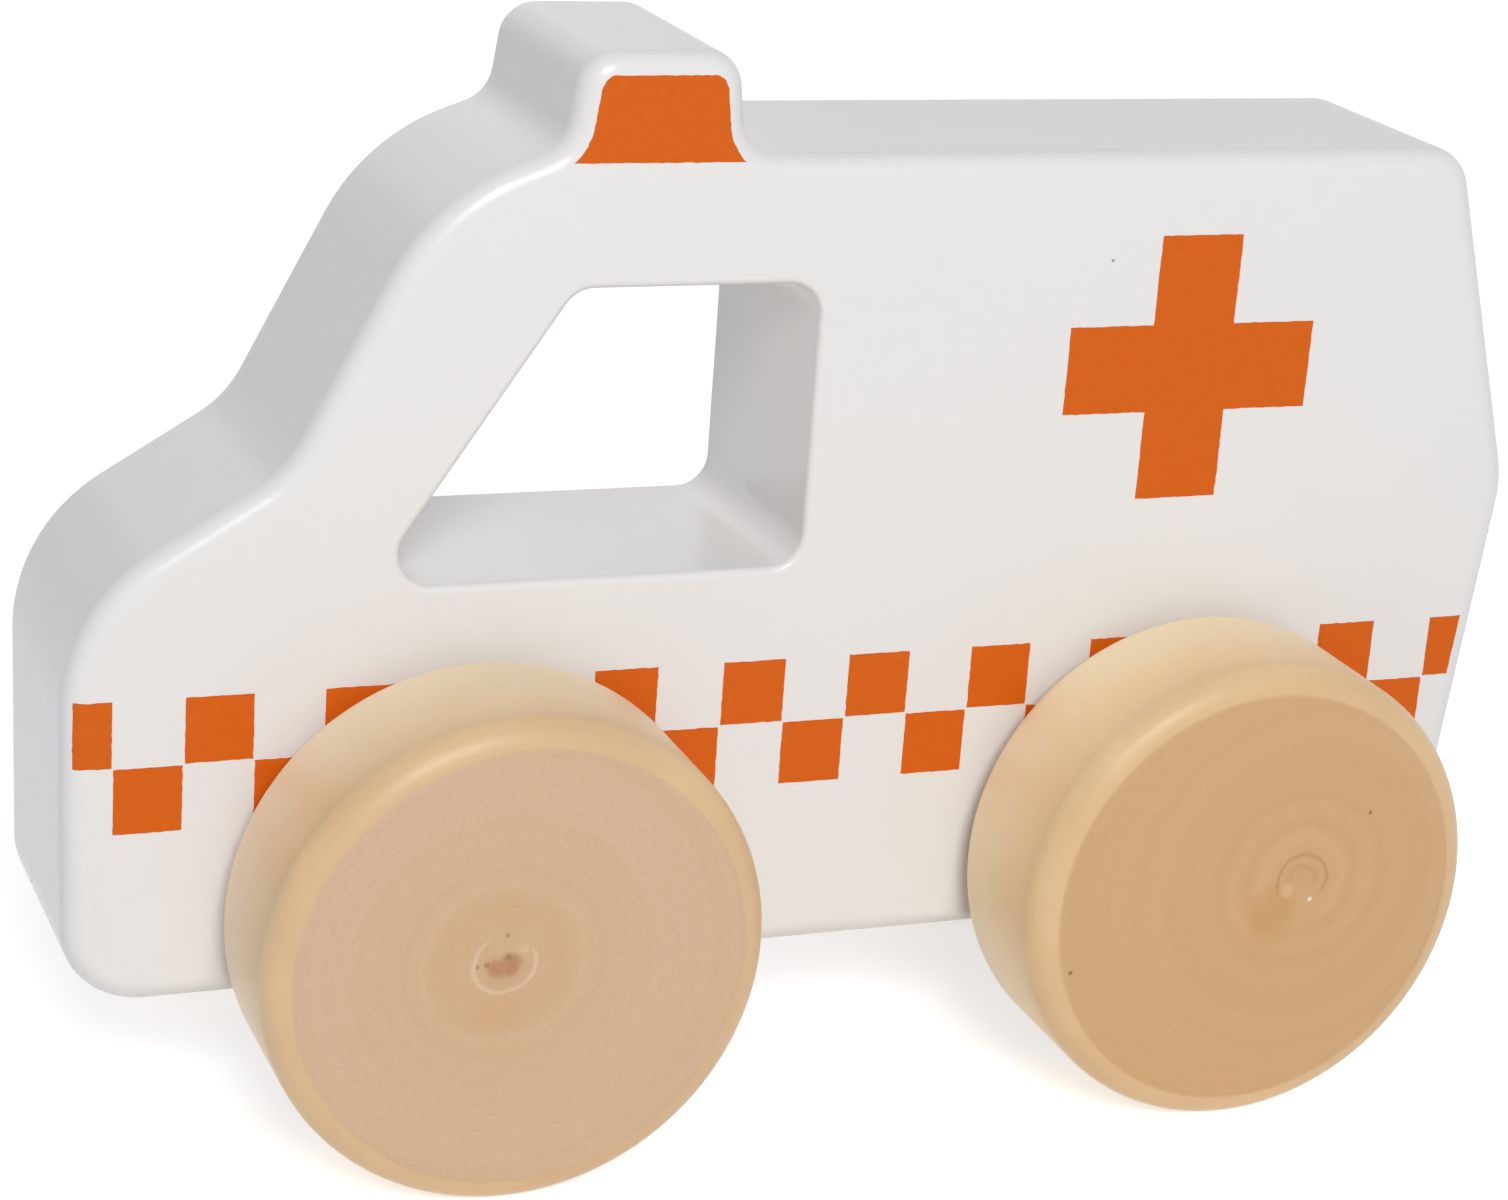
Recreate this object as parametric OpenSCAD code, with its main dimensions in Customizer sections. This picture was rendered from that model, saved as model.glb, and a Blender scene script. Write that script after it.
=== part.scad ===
// Wooden push-along ambulance: a routed board on two dowel axles with turned wheels.
// Millimetres. +X is forward, +Y is the toy's left, +Z is up.
// The origin is on the floor, under the middle of the body.

/* [Body] */
// Overall length of the body, nose to tail
body_len = 136.8; // [125:0.2:170]
// Thickness of the board that the body is cut from
body_thick = 25; // [18:0.5:36]
// Height of the roof above the underside
body_high = 73.2; // [68:0.2:90]
// Radius of the rounding round both side faces
edge_r = 2.1; // [1:0.1:4]
// Radius of the two lower corners of the body
sill_r = 7; // [4:0.5:12]

/* [Nose and windscreen] */
// Height of the nose corner above the underside
nose_high = 35.6; // [28:0.2:42]
// How far the front tucks in below the nose corner
chin_tuck = 0.5; // [0.1:0.1:3]
// Radius of the nose corner
nose_r = 16; // [8:0.5:18]
// Length of the bonnet, from the nose to the foot of the windscreen
hood_run = 18.7; // [16:0.1:24]
// Rise of the bonnet over that length
hood_rise = 11.5; // [8:0.1:15]
// Radius of the hollow at the foot of the windscreen
cowl_r = 10; // [4:0.5:14]
// How far the windscreen leans back
screen_run = 11.8; // [8:0.1:15]
// Depth of the windscreen's top corner below the roof
brow_drop = 3.1; // [2:0.1:5]
// Radius of the windscreen's top corner
brow_r = 19; // [10:0.5:20]
// Length of the brow, from that corner to the beacon
brow_run = 11; // [10:0.1:16]
// Rise of the brow over that length
brow_rise = 4; // [2.5:0.1:5]

/* [Beacon] */
// Length of the roof beacon at its foot
beacon_len = 16.1; // [13:0.1:24]
// Height of the beacon above the roof
beacon_high = 8.9; // [7.5:0.1:14]
// How far each end of the beacon leans in
beacon_lean = 1.1; // [0.5:0.1:2]
// Radius of the beacon's top corners
beacon_r = 3.4; // [3:0.1:4]
// Radius of the hollows at the beacon's foot
foot_r = 3.5; // [2:0.1:4]

/* [Tail] */
// Height of the tail's rearmost corner above the underside
tail_high = 41.2; // [30:0.2:50]
// How far the tail leans in above that corner
tail_rake = 9.2; // [5:0.1:14]
// How far the tail tucks in below that corner
tail_tuck = 4.3; // [2:0.1:8]
// Radius of the rearmost corner
tail_r = 12; // [6:0.5:20]
// Radius of the roof's rear corner
roof_r = 4.5; // [4:0.1:8]

/* [Window] */
// Distance from the nose to the window's lower front corner
window_setback = 25.7; // [22:0.1:30]
// Length of the window along its sill
window_len = 39.2; // [30:0.1:50]
// How far the window's front edge leans back
window_rake = 17.1; // [12:0.1:20]
// Height of the window's sill above the underside
window_sill = 36.5; // [32:0.1:40]
// Height of the window
window_high = 25.6; // [20:0.1:27]
// Radius of the window's corners
window_r = 3; // [2:0.1:5]
// Radius of the rounding round the window, on both faces
window_edge_r = 0.7; // [0.5:0.1:2]

/* [Wheels] */
// Diameter of the wheels
wheel_d = 44; // [34:0.5:50]
// Thickness of the wheels
wheel_thick = 16.3; // [13:0.1:22]
// Radius of the rounding on both edges of a wheel
wheel_edge_r = 3.8; // [1:0.1:5]
// Gap between a wheel and the body's side
wheel_gap = 1.5; // [0.5:0.1:3]
// Distance from the front axle to the rear axle
wheelbase = 69.2; // [60:0.2:80]
// Distance from the nose to the front axle
nose_overhang = 35.2; // [28:0.2:42]

/* [Axles] */
// Diameter of the dowel axles
axle_d = 8; // [5:0.5:10]
// Height of the axle holes above the underside
axle_rise = 8.6; // [8:0.2:14]
// Depth of the blind hole in a wheel that takes the axle's end
axle_seat = 10; // [6:0.5:12]
// Chamfer on the axle's ends
axle_chamfer = 0.8; // [0.4:0.1:1.5]

/* [Hidden] */

// Radial play of an axle in the body, and the glue film round its end in a wheel
axle_play = 0.1;
glue_gap = 0.03;
// How far a cut runs past the surface it opens
overrun = 1;
// Turn of an outline's arc from one point to the next, and of an edge rounding, in degrees
arc_step = 7.5;
edge_step = 30;
// Sides of a round piece
round_fn = 96;
// Least radius of a convex corner, as a share of the edge rounding that follows it
routed_share = 1.125;

paint_white = "#F2F1EF";
bare_wood = "#D6B48E";

axle_z = wheel_d / 2;
under_z = axle_z - axle_rise;
roof_z = under_z + body_high;
nose_x = body_len / 2;
front_x = nose_x - nose_overhang;
rear_x = front_x - wheelbase;
track_y = body_thick / 2 + wheel_gap;

// Corners of the body's side view, counterclockwise from the lower front one: x, z and radius.
nose_corner_x = nose_x + overshoot([chin_tuck, nose_high], [-hood_run, hood_rise], routed(nose_r));
cowl_x = nose_corner_x - hood_run;
brow_x = cowl_x - screen_run;
beacon_x = brow_x - brow_run;
beacon_end_x = beacon_x - beacon_len;
beacon_z = roof_z + beacon_high;
tail_corner_x = -nose_x
    - overshoot([-tail_rake, tail_high - body_high], [tail_tuck, -tail_high], routed(tail_r));
body_corners = [
    [nose_corner_x - chin_tuck, under_z, routed(sill_r)],
    [nose_corner_x, under_z + nose_high, routed(nose_r)],
    [cowl_x, under_z + nose_high + hood_rise, cowl_r],
    [brow_x, roof_z - brow_drop, routed(brow_r)],
    [beacon_x, roof_z - brow_drop + brow_rise, foot_r],
    [beacon_x - beacon_lean, beacon_z, routed(beacon_r)],
    [beacon_end_x + beacon_lean, beacon_z, routed(beacon_r)],
    [beacon_end_x, roof_z, foot_r],
    [tail_corner_x + tail_rake, roof_z, routed(roof_r)],
    [tail_corner_x, under_z + tail_high, routed(tail_r)],
    [tail_corner_x + tail_tuck, under_z, routed(sill_r)]
];

// Corners of the window, counterclockwise from the lower front one.
window_x = nose_x - window_setback;
window_z = under_z + window_sill;
window_corners = [
    [window_x, window_z, window_r],
    [window_x - window_rake, window_z + window_high, window_r],
    [window_x - window_len, window_z + window_high, window_r],
    [window_x - window_len, window_z, window_r]
];

function unit(v) = v / norm(v);

// The place of a corner, and the radius that rounds it.
function place(corner) = [corner[0], corner[1]];
function radius(corner) = corner[2];

// A convex corner keeps a radius that the edge rounding can follow.
function routed(r) = max(r, edge_r * routed_share);

// How far the sharp corner between two edges stands out along x, past the arc that rounds it.
function overshoot(into, out, r) =
    let (a = unit(into), b = unit(out))
    r * (abs(unit(b - a).x) / cos(acos(a * b) / 2) - 1);

// The arc that rounds the corner p between its neighbours a and b, as [point, outward normal] pairs.
// The same centre serves convex and hollow corners: side is 1 or -1.
function corner_arc(a, p, b, r) =
    let (
        into = unit(p - a),
        out = unit(b - p),
        side = sign(cross(into, out)),
        turn = acos(into * out),
        centre = p + unit(out - into) * r / cos(turn / 2),
        start = atan2(-into.x, into.y),
        steps = max(2, ceil(turn / arc_step))
    )
    [for (k = [0 : steps])
        let (angle = start + side * turn * k / steps, normal = [cos(angle), sin(angle)])
        [centre + side * r * normal, normal]];

// A whole outline with each of its corners rounded.
function rounded_outline(corners) =
    let (count = len(corners))
    [for (i = [0 : count - 1])
        each corner_arc(place(corners[(i + count - 1) % count]), place(corners[i]),
                        place(corners[(i + 1) % count]), radius(corners[i]))];

// A quarter round of radius r, as [inset, depth] pairs from the face down to the side.
function quarter_round(r) =
    let (steps = ceil(90 / edge_step))
    [for (k = [0 : steps])
        let (angle = 90 * k / steps)
        [r * (1 - sin(angle)), r * (1 - cos(angle))]];

// A solid through equal rings: each ring is the outline moved in by its inset, at its own y.
module ring_loft(outline, rings) {
    count = len(outline);
    last = len(rings) - 1;
    points = [for (ring = rings) for (spot = outline)
        let (at = spot[0] - ring[0] * spot[1])
        [at.x, ring[1], at.y]];
    sides = [for (i = [0 : last - 1]) for (j = [0 : count - 1])
        let (next = (j + 1) % count)
        [i * count + j, i * count + next, (i + 1) * count + next, (i + 1) * count + j]];
    first_cap = [for (j = [count - 1 : -1 : 0]) j];
    last_cap = [for (j = [0 : count - 1]) last * count + j];
    polyhedron(points, concat([first_cap, last_cap], sides));
}

// Rings for a board with both faces' edges rounded over.
function board_rings(thick, r) =
    let (edge = quarter_round(r), last = len(edge) - 1)
    concat([for (k = [0 : last]) [edge[k][0], edge[k][1] - thick / 2]],
           [for (k = [last : -1 : 0]) [edge[k][0], thick / 2 - edge[k][1]]]);

// Rings for a cut through such a board that leaves its own edges rounded over.
function cut_rings(thick, r) =
    let (edge = quarter_round(r), last = len(edge) - 1)
    concat([[-r, -thick / 2 - overrun]],
           [for (k = [0 : last]) [-edge[k][0], edge[k][1] - thick / 2]],
           [for (k = [last : -1 : 0]) [-edge[k][0], thick / 2 - edge[k][1]]],
           [[-r, thick / 2 + overrun]]);

// A round bar across the toy, centred on its middle plane.
module cross_bar(x, d, length) {
    translate([x, 0, axle_z]) rotate([90, 0, 0]) cylinder(d = d, h = length, center = true, $fn = round_fn);
}

module body() {
    color(paint_white)
    difference() {
        ring_loft(rounded_outline(body_corners), board_rings(body_thick, edge_r));
        ring_loft(rounded_outline(window_corners), cut_rings(body_thick, window_edge_r));
        for (x = [front_x, rear_x])
            cross_bar(x, axle_d + 2 * axle_play, body_thick + 2 * overrun);
    }
}

// A dowel with chamfered ends that reaches the floor of both wheels' blind holes.
module axle(x) {
    axle_len = 2 * (track_y + axle_seat);
    color(bare_wood)
    translate([x, 0, axle_z]) rotate([90, 0, 0])
        rotate_extrude($fn = round_fn)
            polygon([
                [0, -axle_len / 2],
                [axle_d / 2 - axle_chamfer, -axle_len / 2],
                [axle_d / 2, axle_chamfer - axle_len / 2],
                [axle_d / 2, axle_len / 2 - axle_chamfer],
                [axle_d / 2 - axle_chamfer, axle_len / 2],
                [0, axle_len / 2]
            ]);
}

// Half the section of a wheel, from its inner face at 0 to its outer face.
module wheel_section() {
    shoulder_r = wheel_d / 2 - wheel_edge_r;
    difference() {
        union() {
            square([shoulder_r, wheel_thick]);
            translate([0, wheel_edge_r]) square([wheel_d / 2, wheel_thick - 2 * wheel_edge_r]);
            for (y = [wheel_edge_r, wheel_thick - wheel_edge_r])
                translate([shoulder_r, y]) circle(r = wheel_edge_r, $fn = round_fn);
        }
        translate([0, -overrun]) square([axle_d / 2 + glue_gap, axle_seat + overrun]);
    }
}

// A wheel on the left side of the toy when side is 1, and on its right side when side is -1.
module wheel(x, side) {
    color(bare_wood)
    translate([x, side * track_y, axle_z]) rotate([-90 * side, 0, 0])
        rotate_extrude($fn = round_fn) wheel_section();
}

body();
axle(front_x);  // front_axle
axle(rear_x);  // rear_axle
wheel(front_x, 1);  // front_left_wheel
wheel(front_x, -1);  // front_right_wheel
wheel(rear_x, 1);  // rear_left_wheel
wheel(rear_x, -1);  // rear_right_wheel
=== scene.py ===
import math

import bmesh
import bpy
from mathutils import Matrix, Vector, noise


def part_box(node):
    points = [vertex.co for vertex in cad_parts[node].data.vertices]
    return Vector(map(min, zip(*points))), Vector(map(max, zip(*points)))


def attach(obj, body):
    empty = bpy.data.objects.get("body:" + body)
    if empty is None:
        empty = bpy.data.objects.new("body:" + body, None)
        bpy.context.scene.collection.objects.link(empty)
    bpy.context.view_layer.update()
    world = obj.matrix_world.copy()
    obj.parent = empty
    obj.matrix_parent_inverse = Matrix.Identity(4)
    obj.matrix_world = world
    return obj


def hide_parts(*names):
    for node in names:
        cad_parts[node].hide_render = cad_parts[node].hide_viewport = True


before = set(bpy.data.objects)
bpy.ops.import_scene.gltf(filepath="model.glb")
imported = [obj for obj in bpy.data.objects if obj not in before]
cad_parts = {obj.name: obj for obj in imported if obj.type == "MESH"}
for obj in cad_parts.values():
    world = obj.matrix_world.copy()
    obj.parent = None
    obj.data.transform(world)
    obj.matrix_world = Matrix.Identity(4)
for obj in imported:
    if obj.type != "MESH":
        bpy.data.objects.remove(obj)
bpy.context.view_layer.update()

# The body is one board of close-grained wood, sawn to the side view of a van and rounded over all round.
# The window is cut right through as a handle and eased with a smaller bit, and two holes take the axles.
# It is primed, sanded and sprayed white.
MM = 0.001
body_low, body_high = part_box("body")
nose_x, tail_x = body_high.x, body_low.x
under_z, beacon_top_z = body_low.z, body_high.z
half_thick = body_high.y
roof_z = beacon_top_z - 8.9 * MM
edge_r = 2.1 * MM
sill_r = 7 * MM
bore_d = 8.2 * MM
weld = 0.001 * MM

# The sharp corners of the nose and tail stand a little past the ends that their roundings leave.
nose_corner_x = nose_x + 0.126 * MM
tail_corner_x = tail_x - 0.177 * MM
cowl_x = nose_corner_x - 18.7 * MM
brow_x = cowl_x - 11.8 * MM
beacon_front_x = brow_x - 11 * MM
beacon_rear_x = beacon_front_x - 16.1 * MM
beacon_lean = 1.1 * MM
beacon_r = 3.4 * MM
foot_r = 3.5 * MM
nose_z = under_z + 35.6 * MM
brow_z = roof_z - 3.1 * MM
tail_z = under_z + 41.2 * MM
tail_foot_x = tail_corner_x + 4.3 * MM

# Corners of the side view, counterclockwise from the chin: x, z and radius.
body_corners = [
    (nose_corner_x - 0.5 * MM, under_z, sill_r),
    (nose_corner_x, nose_z, 16 * MM),
    (cowl_x, nose_z + 11.5 * MM, 10 * MM),
    (brow_x, brow_z, 19 * MM),
    (beacon_front_x, brow_z + 4 * MM, foot_r),
    (beacon_front_x - beacon_lean, beacon_top_z, beacon_r),
    (beacon_rear_x + beacon_lean, beacon_top_z, beacon_r),
    (beacon_rear_x, roof_z, foot_r),
    (tail_corner_x + 9.2 * MM, roof_z, 4.5 * MM),
    (tail_corner_x, tail_z, 12 * MM),
    (tail_foot_x, under_z, sill_r),
]
window_r = 3 * MM
window_edge_r = 0.7 * MM
window_front_x = nose_x - 25.7 * MM
window_rear_x = window_front_x - 39.2 * MM
window_sill_z = under_z + 36.5 * MM
window_top_z = window_sill_z + 25.6 * MM
window_corners = [
    (window_front_x, window_sill_z, window_r),
    (window_front_x - 17.1 * MM, window_top_z, window_r),
    (window_rear_x, window_top_z, window_r),
    (window_rear_x, window_sill_z, window_r),
]


def rounded_loop(bm, corners, grow, y):
    """A closed loop of edges at y round the corners, moved out by grow, with an arc spun at each corner."""
    arc_step, fewest_steps = 4, 4
    before = set(bm.edges)
    ends = []
    for last, corner, following in zip(corners[-1:] + corners, corners, corners[1:] + corners[:1]):
        place = Vector(corner[:2])
        into = (place - Vector(last[:2])).normalized()
        out = (Vector(following[:2]) - place).normalized()
        turn = into.angle_signed(out) * -1
        centre = place + (out - into).normalized() * corner[2] / math.cos(turn / 2)
        outward = Vector((into.y, -into.x))
        start = centre + outward * (math.copysign(corner[2], turn) + grow)
        first = bm.verts.new((start.x, y, start.y))
        arc = bmesh.ops.spin(bm, geom=[first], cent=(centre.x, y, centre.y), axis=(0, -1, 0),
                             angle=turn, steps=max(fewest_steps, round(abs(math.degrees(turn)) / arc_step)))
        ends.append((first, arc["geom_last"][0]))
    for (_, arc_end), (arc_start, _) in zip(ends, ends[1:] + ends[:1]):
        bm.edges.new((arc_end, arc_start))
    return [edge for edge in bm.edges if edge not in before]


def half_rings(r, way):
    """Rings as (grow, y) from the middle of the board up to its left face: a wall, then a quarter round."""
    steps = 10
    angles = [math.pi / 2 * k / steps for k in range(steps + 1)]
    return [(0, 0)] + [(way * r * (1 - math.cos(a)), half_thick - r * (1 - math.sin(a))) for a in angles]


def skin(bm, corners, rings):
    """Joins the outline at each ring to the outline at the next, and returns the last ring's edges."""
    loops = [rounded_loop(bm, corners, grow, y) for grow, y in rings]
    for low, high in zip(loops, loops[1:]):
        bmesh.ops.bridge_loops(bm, edges=low + high)
    return loops[-1]


def bore(bm, x, z, d):
    """The wall of a hole from the middle of the board to its left face. Returns the rim's edges."""
    rims = []
    steps = 64
    for y in (0, half_thick):
        turned = Matrix.Translation((x, y, z)) @ Matrix.Rotation(math.pi / 2, 4, "X")
        circle = bmesh.ops.create_circle(bm, segments=steps, radius=d / 2, matrix=turned)
        rims.append([e for e in bm.edges if all(v in circle["verts"] for v in e.verts)])
    bmesh.ops.bridge_loops(bm, edges=rims[0] + rims[1])
    return rims[1]


def add(tree, kind, inputs=None, **settings):
    """Adds a node, sets its properties and fills its sockets with values or with other nodes' sockets."""
    node = tree.nodes.new(kind)
    for name, value in settings.items():
        setattr(node, name, value)
    for socket, value in (inputs or {}).items():
        if isinstance(value, bpy.types.NodeSocket):
            tree.links.new(value, node.inputs[socket])
        else:
            node.inputs[socket].default_value = value
    return node


def linear(hex_colour):
    """An sRGB hex colour as the linear RGBA that a shader takes."""
    shares = [int(hex_colour[i:i + 2], 16) / 255 for i in (1, 3, 5)]
    return [c / 12.92 if c <= 0.04045 else ((c + 0.055) / 1.055) ** 2.4 for c in shares] + [1]


def blank_material(name):
    """A new material, with its node tree and its surface shader."""
    material = bpy.data.materials.new(name)
    material.use_nodes = True
    return material, material.node_tree, material.node_tree.nodes["Principled BSDF"]


def stretched(tree, **mapping):
    """Object coordinates in millimetres, moved and stretched by a Mapping node."""
    coordinates = add(tree, "ShaderNodeTexCoord")
    sizes = {"Vector": coordinates.outputs["Object"], "Scale": (1 / MM, 1 / MM, 1 / MM)}
    in_mm = add(tree, "ShaderNodeMapping", sizes)
    return add(tree, "ShaderNodeMapping", {"Vector": in_mm.outputs["Vector"], **mapping}).outputs["Vector"]


def specks(tree, cell, r, rarity):
    """Dots of radius r, at most one to a cell of that size, in millimetres. A higher rarity leaves fewer."""
    cells = add(tree, "ShaderNodeTexVoronoi", {"Vector": stretched(tree), "Scale": 1 / cell})
    edge = add(tree, "ShaderNodeMapRange", {"Value": cells.outputs["Distance"], "From Min": 2 * r / cell,
                                            "From Max": r / cell})
    kept = add(tree, "ShaderNodeMath", {0: cells.outputs["Color"], 1: rarity}, operation="GREATER_THAN")
    dots = add(tree, "ShaderNodeMath", {0: edge.outputs["Result"], 1: kept.outputs["Value"]},
               operation="MULTIPLY")
    return dots.outputs["Value"]


def make_piece(name, bm, material, body):
    """Turns a bmesh into a smooth piece that rides on a body. Big flat faces keep their own shading."""
    crease = math.radians(40)
    mesh = bpy.data.meshes.new(name)
    bm.to_mesh(mesh)
    bm.free()
    mesh.shade_smooth()
    mesh.set_sharp_from_angle(angle=crease)
    mesh.materials.append(material)
    piece = bpy.data.objects.new(name, mesh)
    bpy.context.scene.collection.objects.link(piece)
    even = piece.modifiers.new("even_shading", "WEIGHTED_NORMAL")
    even.keep_sharp = True
    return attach(piece, body)


# Satin enamel, sprayed over primer and sanded wood: a soft broad sheen, a fine orange peel, the ghost of the
# grain along the board, a coat that is a little uneven, and a speck of dust here and there.
cloud_pitch, peel_pitch = 22, 0.9
peel_deep = 0.03 * MM
grain_stretch = (0.06, 1.1, 1.1)
dust_cell, dust_r, dust_rarity = 13, 0.1, 0.6
white_enamel, tree, enamel = blank_material("sprayed_satin_enamel")
clouds = add(tree, "ShaderNodeTexNoise", {"Vector": stretched(tree), "Scale": 1 / cloud_pitch, "Detail": 1})
coat = add(tree, "ShaderNodeMix", {"Factor": clouds.outputs["Fac"], "A": linear("#F3F1EF"),
                                   "B": linear("#F1EFED")}, data_type="RGBA")
dusty = add(tree, "ShaderNodeMix", {"Factor": specks(tree, dust_cell, dust_r, dust_rarity),
                                    "A": coat.outputs["Result"], "B": linear("#9A9289")}, data_type="RGBA")
tree.links.new(dusty.outputs["Result"], enamel.inputs["Base Color"])
peel = add(tree, "ShaderNodeTexNoise", {"Vector": stretched(tree), "Scale": 1 / peel_pitch, "Detail": 2})
grain = add(tree, "ShaderNodeTexNoise",
            {"Vector": stretched(tree, Scale=grain_stretch), "Scale": 1, "Detail": 3})
relief = add(tree, "ShaderNodeMath", {0: peel.outputs["Fac"], 1: grain.outputs["Fac"]}, operation="ADD")
bump = add(tree, "ShaderNodeBump",
           {"Height": relief.outputs["Value"], "Strength": 0.5, "Distance": peel_deep})
tree.links.new(bump.outputs["Normal"], enamel.inputs["Normal"])
sheen = add(tree, "ShaderNodeMapRange", {"Value": clouds.outputs["Fac"], "To Min": 0.25, "To Max": 0.29})
tree.links.new(sheen.outputs["Result"], enamel.inputs["Roughness"])
enamel.inputs["IOR"].default_value = 1.47

board = bmesh.new()
face_edges = skin(board, body_corners, half_rings(edge_r, -1))
face_edges += skin(board, window_corners, half_rings(window_edge_r, 1))
for axle in ("front_axle", "rear_axle"):
    axle_low, axle_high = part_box(axle)
    face_edges += bore(board, (axle_low.x + axle_high.x) / 2, (axle_low.z + axle_high.z) / 2, bore_d)
bmesh.ops.triangle_fill(board, use_beauty=True, edges=face_edges, normal=(0, 1, 0))
half = board.verts[:] + board.edges[:] + board.faces[:]
bmesh.ops.mirror(board, geom=half, axis="Y", merge_dist=weld)
bmesh.ops.recalc_face_normals(board, faces=board.faces[:])
body = make_piece("painted_body", board, white_enamel, "chassis")
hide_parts("body")

# The prints are one orange ink, laid on both painted sides by a soft pad that reaches a little way over
# the rounded edges: a band of checks, a plain cross and a panel on the beacon. The film is drawn thicker
# than real ink, so that it stands clear of the enamel.
film_thick = 0.03 * MM
sliver = 0.03 * MM
ragged = 0.07 * MM
ragged_pitch = 0.45 * MM
# The ragged edge comes from a fixed seed, so that it is the same each run.
noise.seed_set(3)

# Pad-printed ink: a thin matt film, a little mottled where the pad lifted, with a few pinholes.
mottle_pitch = 0.7
mottle_deep = 0.02 * MM
pinhole_cell, pinhole_r, pinhole_rarity = 5.5, 0.1, 0.5
orange_ink, tree, ink = blank_material("pad_printed_orange_ink")
mottle = add(tree, "ShaderNodeTexNoise", {"Vector": stretched(tree), "Scale": 1 / mottle_pitch, "Detail": 4})
film = add(tree, "ShaderNodeMix", {"Factor": mottle.outputs["Fac"], "A": linear("#E46A06"),
                                   "B": linear("#D95E04")}, data_type="RGBA")
pricked = add(tree, "ShaderNodeMix", {"Factor": specks(tree, pinhole_cell, pinhole_r, pinhole_rarity),
                                      "A": film.outputs["Result"], "B": linear("#F2D5C0")}, data_type="RGBA")
tree.links.new(pricked.outputs["Result"], ink.inputs["Base Color"])
lifted = add(tree, "ShaderNodeBump",
             {"Height": mottle.outputs["Fac"], "Strength": 0.4, "Distance": mottle_deep})
tree.links.new(lifted.outputs["Normal"], ink.inputs["Normal"])
ink.inputs["Roughness"].default_value = 0.55
ink.inputs["IOR"].default_value = 1.33


def printed_face():
    """The left side of the body with its rounded edge, as one sheet that a print is cut from."""
    sheet = bmesh.new()
    rim = skin(sheet, body_corners, half_rings(edge_r, -1)[1:])
    bmesh.ops.contextual_create(sheet, geom=rim)
    return sheet


def trim(sheet, planes, clear=True):
    """Cuts a sheet along planes given as a point and an outward direction, and drops what lies outside."""
    for point, outward in planes:
        geometry = sheet.verts[:] + sheet.edges[:] + sheet.faces[:]
        bmesh.ops.bisect_plane(sheet, geom=geometry, plane_co=point, plane_no=outward, clear_outer=clear)


def block(low_x, high_x, low_z, high_z):
    """The four planes of an upright rectangle on the side of the body."""
    return [((low_x, 0, 0), (-1, 0, 0)), ((high_x, 0, 0), (1, 0, 0)),
            ((0, 0, low_z), (0, 0, -1)), ((0, 0, high_z), (0, 0, 1))]


def ink_film(sheet):
    """Welds the slivers a cut leaves, roughens the print's edge a little and lifts it to an ink film."""
    bmesh.ops.remove_doubles(sheet, verts=sheet.verts[:], dist=sliver)
    for edge in [e for e in sheet.edges if e.is_boundary]:
        cuts = int(edge.calc_length() / ragged_pitch)
        if cuts:
            bmesh.ops.subdivide_edges(sheet, edges=[edge], cuts=cuts)
    for vert in sheet.verts:
        if vert.is_boundary:
            shift = noise.noise_vector(vert.co / ragged_pitch) * ragged
            vert.co += Vector((shift.x, 0, shift.z))
    top = bmesh.ops.extrude_face_region(sheet, geom=sheet.faces[:], use_keep_orig=True)["geom"]
    top_verts = [part for part in top if isinstance(part, bmesh.types.BMVert)]
    bmesh.ops.translate(sheet, verts=top_verts, vec=(0, film_thick, 0))


def gather(sheets):
    """Joins cut prints into one film and repeats it on the other side."""
    film = bmesh.new()
    for sheet in sheets:
        ink_film(sheet)
        part = bpy.data.meshes.new("cut_print")
        sheet.to_mesh(part)
        sheet.free()
        film.from_mesh(part)
        bpy.data.meshes.remove(part)
    bmesh.ops.mirror(film, geom=film.verts[:] + film.edges[:] + film.faces[:], axis="Y", merge_dist=-1)
    bmesh.ops.recalc_face_normals(film, faces=film.faces[:])
    return film


whole_face = printed_face()

# The band is two rows of checks that take turns, cut off short of the nose and along the tail.
check = 6 * MM
check_gap = 0.08 * MM
check_high = 6.04 * MM
check_count = 23
band_x = nose_x + 1.8 * MM
band_z = under_z + 28 * MM
band_ends = [((nose_x - 0.9 * MM, 0, 0), (1, 0, 0)),
             ((tail_foot_x + 2 * MM, 0, under_z), (under_z - tail_z, 0, tail_corner_x - tail_foot_x))]
checks = []
for column in range(check_count):
    high_x = band_x - column * check
    high_z = band_z - column % 2 * check_high
    one = whole_face.copy()
    trim(one, block(high_x - check + check_gap, high_x - check_gap,
                    high_z - check_high + check_gap, high_z - check_gap) + band_ends)
    checks.append(one)
make_piece("check_band_print", gather(checks), orange_ink, "chassis")

# The cross is a plain plus on the rear half of the side.
cross_x, cross_z = -32.83 * MM, 66.94 * MM
cross_reach, cross_half_wide = 12.24 * MM, 4.03 * MM
cross = whole_face.copy()
trim(cross, block(cross_x - cross_reach, cross_x + cross_reach, cross_z - cross_reach, cross_z + cross_reach))
trim(cross, block(cross_x - cross_half_wide, cross_x + cross_half_wide,
                  cross_z - cross_half_wide, cross_z + cross_half_wide), clear=False)
outside = [f for f in cross.faces
           if abs(f.calc_center_median().x - cross_x) > cross_half_wide
           and abs(f.calc_center_median().z - cross_z) > cross_half_wide]
bmesh.ops.delete(cross, geom=outside, context="FACES")
make_piece("cross_print", gather([cross]), orange_ink, "chassis")

# The beacon's panel covers its side as far as the pad reached over the rounded edge.
panel_low_z, panel_high_z = 86.25 * MM, 93.6 * MM
pad_reach = 0.03 * MM
panel = whole_face
trim(panel, block(beacon_rear_x - foot_r, beacon_front_x + foot_r, panel_low_z, panel_high_z)
     + [((0, half_thick - pad_reach, 0), (0, -1, 0))])
make_piece("beacon_print", gather([panel]), orange_ink, "chassis")

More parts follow.
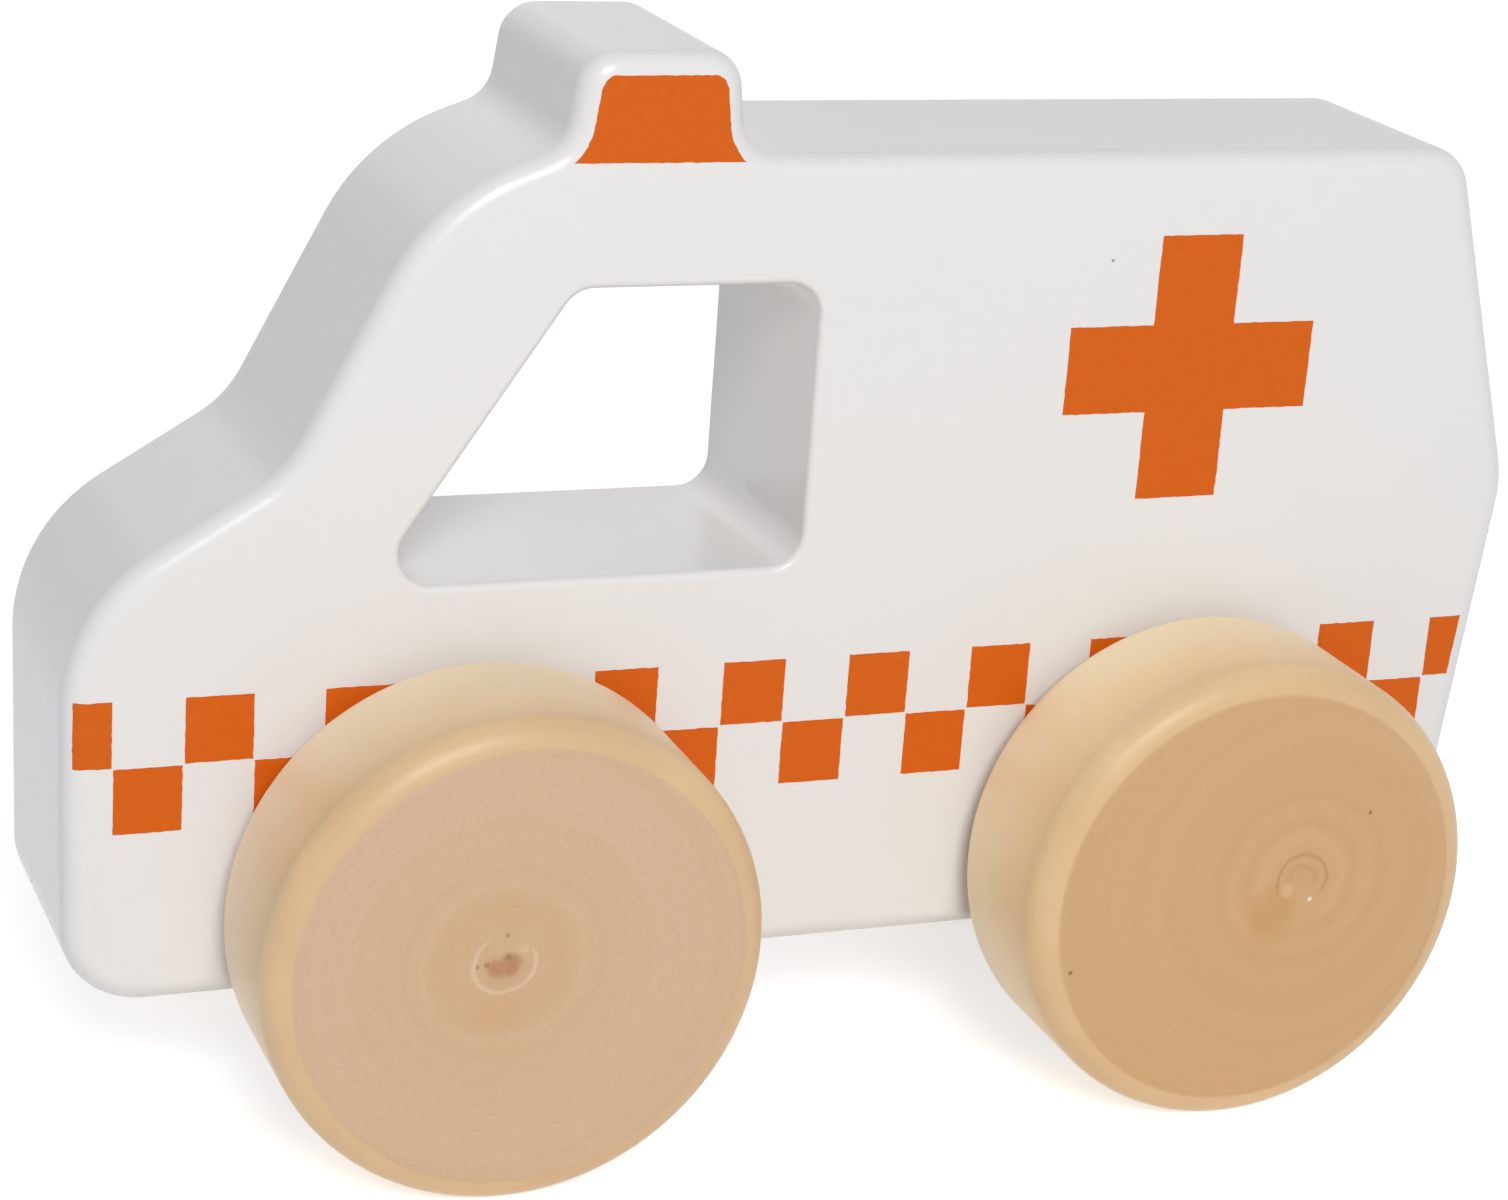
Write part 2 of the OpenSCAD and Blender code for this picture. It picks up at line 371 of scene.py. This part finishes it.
# The axles are dowels that turn in the body's holes. Their ends are glued into the wheels.
# They keep the solids' own shape, in birch with its streaks along the dowel.
streak_stretch = (3, 0.12, 3)
dowel_wood, tree, dowel = blank_material("birch_dowel")
streaks = add(tree, "ShaderNodeTexNoise",
              {"Vector": stretched(tree, Scale=streak_stretch), "Scale": 1, "Detail": 4})
tones = add(tree, "ShaderNodeMix", {"Factor": streaks.outputs["Fac"], "A": linear("#D9B68A"),
                                    "B": linear("#C39A6B")}, data_type="RGBA")
tree.links.new(tones.outputs["Result"], dowel.inputs["Base Color"])
dowel.inputs["Roughness"].default_value = 0.55
for axle in ("front_axle", "rear_axle"):
    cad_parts[axle].data.materials.clear()
    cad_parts[axle].data.materials.append(dowel_wood)

# The wheels are slices of a turned log, with the end grain on their faces, sanded and sealed.
# Each has a blind hole in its inner face for the axle. The lathe has eased the rim's inner edge and rounded
# the outer one a little further onto the face than down the rim.
face_round, rim_round, inner_round = 3 * MM, 2.6 * MM, 2 * MM
hole_r = 4.03 * MM
hole_deep = 10 * MM
edge_steps, turn_steps = 12, 144

# Each wheel's own wood: where the pith lies from the wheel's centre (x, z), the tones of the end grain by
# their radius round it, the tones of the rim from the body outwards, and stains as x, z, radius, tone and
# strength, all in millimetres.
wheel_woods = {
    "front_left_wheel": (
        (1.85, 0.75),
        [(0, "#C08E6B"), (0.9, "#C29270"), (1.5, "#D5AC85"), (2.3, "#D9B48C"), (2.6, "#E7CCAA"),
         (2.95, "#DAB48C"), (4.5, "#DAB38B"), (6.6, "#DBB791"), (7.1, "#DDBB97"), (7.6, "#DBB893"),
         (14.0, "#DDBB9A"), (22.0, "#DCBA98")],
        [(14, "#FFE8C6"), (20, "#FDE3BC"), (24, "#FBDBAE"), (26.5, "#F5D4A4"), (28.8, "#EBC899"),
         (30.2, "#E3BE92")],
        [(-0.5, 2.3, 3.1, "#DAB58E", 1.0), (-0.5, 0.2, 1.1, "#B98664", 0.8),
         (0.7, -0.3, 1.0, "#BF8A63", 0.7), (-0.6, -0.8, 0.7, "#C08258", 0.6),
         (-0.4, 0.5, 0.4, "#9B6C4C", 0.6), (1.5, 0.1, 0.35, "#A87650", 0.7),
         (2.3, 0.0, 0.24, "#B0855A", 0.7), (-1.6, 1.3, 0.6, "#E4C7A2", 0.6),
         (-0.2, 2.6, 0.26, "#A87C4E", 0.7), (0.4, -4.8, 3.0, "#D9A876", 0.22),
         (-0.4, 4.4, 2.4, "#DAAC7C", 0.2)]),
    "rear_left_wheel": (
        (-4.3, 1.7),
        [(0, "#D6A976"), (0.9, "#D8AC79"), (1.3, "#D0A26E"), (1.7, "#D8AD7A"), (2.15, "#D8AD7A"),
         (2.42, "#C3955F"), (2.7, "#D9AF7D"), (4.3, "#DCB383"), (5.4, "#D6AA77"), (6.8, "#DBB281"),
         (8.2, "#D6AB78"), (9.8, "#DAB080"), (11.5, "#D7AD7B"), (14.0, "#DAB080"), (22.0, "#D9AF7E")],
        [(14, "#FFEBC4"), (20, "#FFE7BC"), (24, "#FDDEAC"), (26.5, "#F8D8A7"), (28.8, "#F0CE9E"),
         (30.2, "#E8C291")],
        [(0.2, -2.7, 3.4, "#D9AE7B", 1.0), (2.7, -2.6, 3.0, "#CE9858", 0.45),
         (2.9, -4.6, 3.0, "#D09C5E", 0.3), (1.4, -0.9, 0.9, "#E3C08D", 0.7),
         (-1.0, -2.2, 0.3, "#F4EEE6", 1.0), (-6.4, 6.0, 0.26, "#8A6138", 0.9)]),
    "front_right_wheel": (
        (-3.1, -1.4),
        [(0, "#C69A72"), (0.8, "#C99D75"), (1.4, "#D9B28A"), (2.6, "#D7AF87"), (3.2, "#DFBE9B"),
         (4.6, "#D8AF86"), (6.4, "#DCB894"), (7.9, "#D8B18A"), (9.6, "#DCB893"), (12.5, "#D9B48E"),
         (22.0, "#DAB691")],
        [(14, "#FDE4C4"), (20, "#FBDFB7"), (25, "#F5D5A8"), (28.8, "#EAC797"), (30.2, "#E1BC90")],
        [(1.9, 2.6, 1.8, "#D5A673", 0.35), (-2.4, 1.7, 0.25, "#9C7044", 0.8),
         (5.2, -6.1, 0.28, "#94693F", 0.8)]),
    "rear_right_wheel": (
        (1.7, 3.4),
        [(0, "#CFA373"), (1.0, "#D5A979"), (1.9, "#CC9F6D"), (2.2, "#D9AF80"), (3.9, "#D8AD7D"),
         (4.9, "#DCB486"), (6.3, "#D5A976"), (8.0, "#DAB07F"), (9.7, "#D5A976"), (13.0, "#D8AF7F"),
         (22.0, "#D8AE7D")],
        [(14, "#FFE8C3"), (20, "#FEE2B7"), (25, "#F8D8A8"), (28.8, "#EAC696"), (30.2, "#E0B988")],
        [(-1.6, -3.0, 2.0, "#D09A5F", 0.4), (4.1, 2.2, 0.27, "#926840", 0.8),
         (-5.5, -7.4, 0.25, "#8F663C", 0.8)]),
}

# Sizes of the wood's patterns in millimetres, the same in every wheel. The pores and the lathe's lines are
# drawn coarser than life, so that they show.
ring_reach, ring_pitch = 32, 1.7
sway_pitch, sway_reach = 4.5, 0.35
drift_pitch, drift_reach = 9, 1.2
pore, pore_run = 0.32, 8
fleck_cell, fleck_r, fleck_rarity = 6.5, 0.14, 0.55
tool_pitch, tool_deep = 0.7, 0.03 * MM

# How strongly the late wood and the pores show, how much of a stain is solid, and where the surface has
# turned far enough towards the axle to show end grain, as shares from 0 to 1.
late_from, late_to, late_strength = 0.45, 0.75, 0.08
pores_from, pores_to = 0.45, 0.8
rim_pores, face_pores = 0.05, 0.24
stain_core = 0.4
rim_ends, face_starts = 0.972, 0.993


def turned_wood(name, centre, pith, rings, rim_tones, stains):
    """Limewood for one wheel: end grain round the pith on its faces, long grain and a gloss on its rim."""
    material, tree, wood = blank_material(name)
    from_pith = stretched(tree, Location=(-centre[0] - pith[0], 0, -centre[1] - pith[1]))
    sway = add(tree, "ShaderNodeTexNoise",
               {"Vector": from_pith, "Scale": 1 / sway_pitch, "Detail": 3}, normalize=False)
    swayed = add(tree, "ShaderNodeVectorMath",
                 {0: sway.outputs["Color"], 1: (sway_reach, 0, sway_reach), 2: from_pith},
                 operation="MULTIPLY_ADD")
    end_on = add(tree, "ShaderNodeVectorMath",
                 {0: swayed.outputs["Vector"], 1: (1, 0, 1)}, operation="MULTIPLY")
    radius = add(tree, "ShaderNodeVectorMath", {0: end_on.outputs["Vector"]}, operation="LENGTH")
    depth = add(tree, "ShaderNodeSeparateXYZ", {"Vector": stretched(tree)})
    depth = add(tree, "ShaderNodeMath", {0: depth.outputs["Y"]}, operation="ABSOLUTE")
    drift = add(tree, "ShaderNodeTexNoise",
                {"Vector": from_pith, "Scale": 1 / drift_pitch, "Detail": 3}, normalize=False)
    drifted = add(tree, "ShaderNodeMath",
                  {0: drift.outputs["Fac"], 1: drift_reach, 2: depth.outputs["Value"]},
                  operation="MULTIPLY_ADD")

    ring_share = add(tree, "ShaderNodeMath", {0: radius.outputs["Value"], 1: ring_reach}, operation="DIVIDE")
    rim_share = add(tree, "ShaderNodeMath", {0: drifted.outputs["Value"], 1: ring_reach}, operation="DIVIDE")
    ring_tone = add(tree, "ShaderNodeValToRGB", {"Fac": ring_share.outputs["Value"]})
    rim_tone = add(tree, "ShaderNodeValToRGB", {"Fac": rim_share.outputs["Value"]})
    for tone, stops in ((ring_tone, rings), (rim_tone, rim_tones)):
        elements = tone.color_ramp.elements
        elements.remove(elements[0])
        for place, colour in stops:
            elements.new(place / ring_reach).color = linear(colour)
        elements.remove(elements[-1])

    own_stretch = 40 + 7 * pith[0]
    growth_place = add(tree, "ShaderNodeMath", {0: radius.outputs["Value"], 1: own_stretch}, operation="ADD")
    growth = add(tree, "ShaderNodeTexNoise",
                 {"W": growth_place.outputs["Value"], "Scale": 1 / ring_pitch, "Detail": 2},
                 noise_dimensions="1D")
    late_wood = add(tree, "ShaderNodeMapRange", {"Value": growth.outputs["Fac"], "From Min": late_from,
                                                 "From Max": late_to, "To Max": late_strength})
    face = add(tree, "ShaderNodeMix", {"Factor": late_wood.outputs["Result"], "A": ring_tone.outputs["Color"],
                                       "B": linear("#C4935F")}, data_type="RGBA")
    for x, z, stain_r, colour, strength in stains:
        away = add(tree, "ShaderNodeVectorMath",
                   {0: end_on.outputs["Vector"], 1: (x, 0, z)}, operation="DISTANCE")
        fade = add(tree, "ShaderNodeMapRange", {"Value": away.outputs["Value"], "From Min": stain_r,
                                                "From Max": stain_r * stain_core, "To Max": strength},
                   interpolation_type="SMOOTHSTEP")
        face = add(tree, "ShaderNodeMix", {"Factor": fade.outputs["Result"], "A": face.outputs["Result"],
                                           "B": linear(colour)}, data_type="RGBA")

    way_round = add(tree, "ShaderNodeTexCoord")
    facing = add(tree, "ShaderNodeSeparateXYZ", {"Vector": way_round.outputs["Normal"]})
    facing = add(tree, "ShaderNodeMath", {0: facing.outputs["Y"]}, operation="ABSOLUTE")
    end_grain = add(tree, "ShaderNodeMapRange", {"Value": facing.outputs["Value"], "From Min": rim_ends,
                                                 "From Max": face_starts}).outputs["Result"]
    sawn = add(tree, "ShaderNodeMix", {"Factor": end_grain, "A": rim_tone.outputs["Color"],
                                       "B": face.outputs["Result"]}, data_type="RGBA")

    pore_stretch = (1 / pore, 1 / pore_run, 1 / pore)
    pores = add(tree, "ShaderNodeTexNoise",
                {"Vector": stretched(tree, Scale=pore_stretch), "Scale": 1, "Detail": 3})
    most = add(tree, "ShaderNodeMapRange", {"Value": end_grain, "To Min": rim_pores, "To Max": face_pores})
    porous = add(tree, "ShaderNodeMapRange", {"Value": pores.outputs["Fac"], "From Min": pores_from,
                                              "From Max": pores_to, "To Max": most.outputs["Result"]})
    pored = add(tree, "ShaderNodeMix", {"Factor": porous.outputs["Result"], "A": sawn.outputs["Result"],
                                        "B": linear("#C29365")}, data_type="RGBA")
    flecked = add(tree, "ShaderNodeMix", {"Factor": specks(tree, fleck_cell, fleck_r, fleck_rarity),
                                          "A": pored.outputs["Result"], "B": linear("#9A744D")},
                  data_type="RGBA")
    tree.links.new(flecked.outputs["Result"], wood.inputs["Base Color"])

    from_centre = stretched(tree, Location=(-centre[0], 0, -centre[1]), Scale=(1, 0, 1))
    out = add(tree, "ShaderNodeVectorMath", {0: from_centre}, operation="LENGTH")
    along_tool = add(tree, "ShaderNodeMix", {"Factor": end_grain, "A": depth.outputs["Value"],
                                             "B": out.outputs["Value"]}, data_type="FLOAT")
    lines = add(tree, "ShaderNodeTexNoise",
                {"W": along_tool.outputs["Result"], "Scale": 1 / tool_pitch, "Detail": 2},
                noise_dimensions="1D")
    relief = add(tree, "ShaderNodeMath", {0: pores.outputs["Fac"], 1: lines.outputs["Fac"]}, operation="ADD")
    bump = add(tree, "ShaderNodeBump",
               {"Height": relief.outputs["Value"], "Strength": 0.6, "Distance": tool_deep})
    tree.links.new(bump.outputs["Normal"], wood.inputs["Normal"])
    gloss = add(tree, "ShaderNodeMapRange", {"Value": end_grain, "To Min": 0.4, "To Max": 0.5})
    tree.links.new(gloss.outputs["Result"], wood.inputs["Roughness"])
    wood.inputs["IOR"].default_value = 1.47
    return material


for axle in ("front", "rear"):
    for side, way in (("left", 1), ("right", -1)):
        node = f"{axle}_{side}_wheel"
        low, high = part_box(node)
        centre_x, centre_z = (low.x + high.x) / 2, (low.z + high.z) / 2
        rim_r = (high.z - low.z) / 2
        inner_y, outer_y = (low.y, high.y) if way > 0 else (high.y, low.y)
        turns = [math.pi / 2 * k / edge_steps for k in range(edge_steps + 1)]
        section = [(0, inner_y + way * hole_deep), (hole_r, inner_y + way * hole_deep), (hole_r, inner_y)]
        section += [(rim_r - inner_round * (1 - math.sin(a)), inner_y + way * inner_round * (1 - math.cos(a)))
                    for a in turns]
        section += [(rim_r - face_round * (1 - math.cos(a)), outer_y - way * rim_round * (1 - math.sin(a)))
                    for a in turns]
        section += [(0, outer_y)]
        blank = bmesh.new()
        points = [blank.verts.new((centre_x + r, y, centre_z)) for r, y in section]
        for one, following in zip(points, points[1:]):
            blank.edges.new((one, following))
        bmesh.ops.spin(blank, geom=blank.verts[:] + blank.edges[:], cent=(centre_x, 0, centre_z),
                       axis=(0, 1, 0), angle=2 * math.pi, steps=turn_steps, use_merge=True)
        bmesh.ops.remove_doubles(blank, verts=blank.verts[:], dist=weld)
        bmesh.ops.recalc_face_normals(blank, faces=blank.faces[:])
        centre_mm = (centre_x / MM, centre_z / MM)
        wood = turned_wood(f"turned_limewood_{axle}_{side}", centre_mm, *wheel_woods[node])
        wheel = make_piece(f"turned_{node}", blank, wood, f"{axle}_wheelset")
        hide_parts(node)

# The stage is a white floor that keeps a soft shadow, one large soft lamp, a faint one behind and an even
# surround. Floor and surround are lifted to white only where the camera, a gloss or a clear piece shows them.
scene = bpy.context.scene
scene.view_settings.view_transform = "Standard"


def seen_directly(tree):
    """1 for rays from the camera, off a gloss or through a clear piece, and 0 for the rest."""
    rays = add(tree, "ShaderNodeLightPath")
    seen = rays.outputs["Is Camera Ray"]
    for other in ("Is Glossy Ray", "Is Transmission Ray"):
        both = add(tree, "ShaderNodeMath", {0: seen, 1: rays.outputs[other]}, operation="MAXIMUM")
        seen = both.outputs["Value"]
    return seen


floor_r, floor_lift = 4, 0.62
floor_paper, tree, paper = blank_material("white_paper_floor")
paper.inputs["Base Color"].default_value = linear("#F8F8F8")
paper.inputs["Roughness"].default_value = 0.9
floor_bm = bmesh.new()
bmesh.ops.create_circle(floor_bm, cap_ends=True, radius=floor_r, segments=96)
floor_mesh = bpy.data.meshes.new("floor")
floor_bm.to_mesh(floor_mesh)
floor_bm.free()
floor_mesh.materials.append(floor_paper)
floor = bpy.data.objects.new("floor", floor_mesh)
scene.collection.objects.link(floor)
lift = add(tree, "ShaderNodeMath", {0: seen_directly(tree), 1: floor_lift}, operation="MULTIPLY")
paper.inputs["Emission Color"].default_value = (1, 1, 1, 1)
tree.links.new(lift.outputs["Value"], paper.inputs["Emission Strength"])

world = bpy.data.worlds.new("white_surround")
scene.world = world
world.use_nodes = True
tree = world.node_tree
surround = tree.nodes["Background"]
tone = add(tree, "ShaderNodeMix", {"Factor": seen_directly(tree), "A": (0.26, 0.265, 0.3, 1),
                                   "B": (1, 1, 1, 1)}, data_type="RGBA")
tree.links.new(tone.outputs["Result"], surround.inputs["Color"])

# Each lamp's place, width, power and colour. Both point at the middle of the toy.
lamps = {"softbox": ((0.14, 0.82, 0.66), 0.42, 5.7, (1, 1, 0.97)),
         "rim_light": ((0.0, -0.9, 0.5), 0.7, 0.4, (0.97, 0.98, 1))}
lamp_aim = Vector((0, 0, 0.045))
for lamp, (place, size, energy, colour) in lamps.items():
    light = bpy.data.lights.new(lamp, "AREA")
    light.shape = "DISK"
    light.size = size
    light.energy = energy
    light.color = colour
    stand = bpy.data.objects.new(lamp, light)
    stand.location = place
    towards = lamp_aim - stand.location
    stand.rotation_euler = towards.to_track_quat("-Z", "Y").to_euler()
    scene.collection.objects.link(stand)

# The camera stands at the photograph's own place, in front of the toy's left side and a little above it.
camera_place = Vector((122.6, 291.0, 150.3)) * MM
camera_aim = Vector((1.1, 0, 42.5)) * MM
camera_roll = math.radians(4.37)
lens = bpy.data.cameras.new("camera")
lens.lens = 86.57
lens.sensor_width = 36
lens.shift_x = -0.0102
lens.shift_y = -0.0011
lens.clip_start = 0.01
camera = bpy.data.objects.new("camera", lens)
camera.location = camera_place
aim = (camera_aim - camera_place).to_track_quat("-Z", "Y").to_matrix()
camera.rotation_euler = (aim @ Matrix.Rotation(camera_roll, 3, "Z")).to_euler()
scene.collection.objects.link(camera)
scene.camera = camera
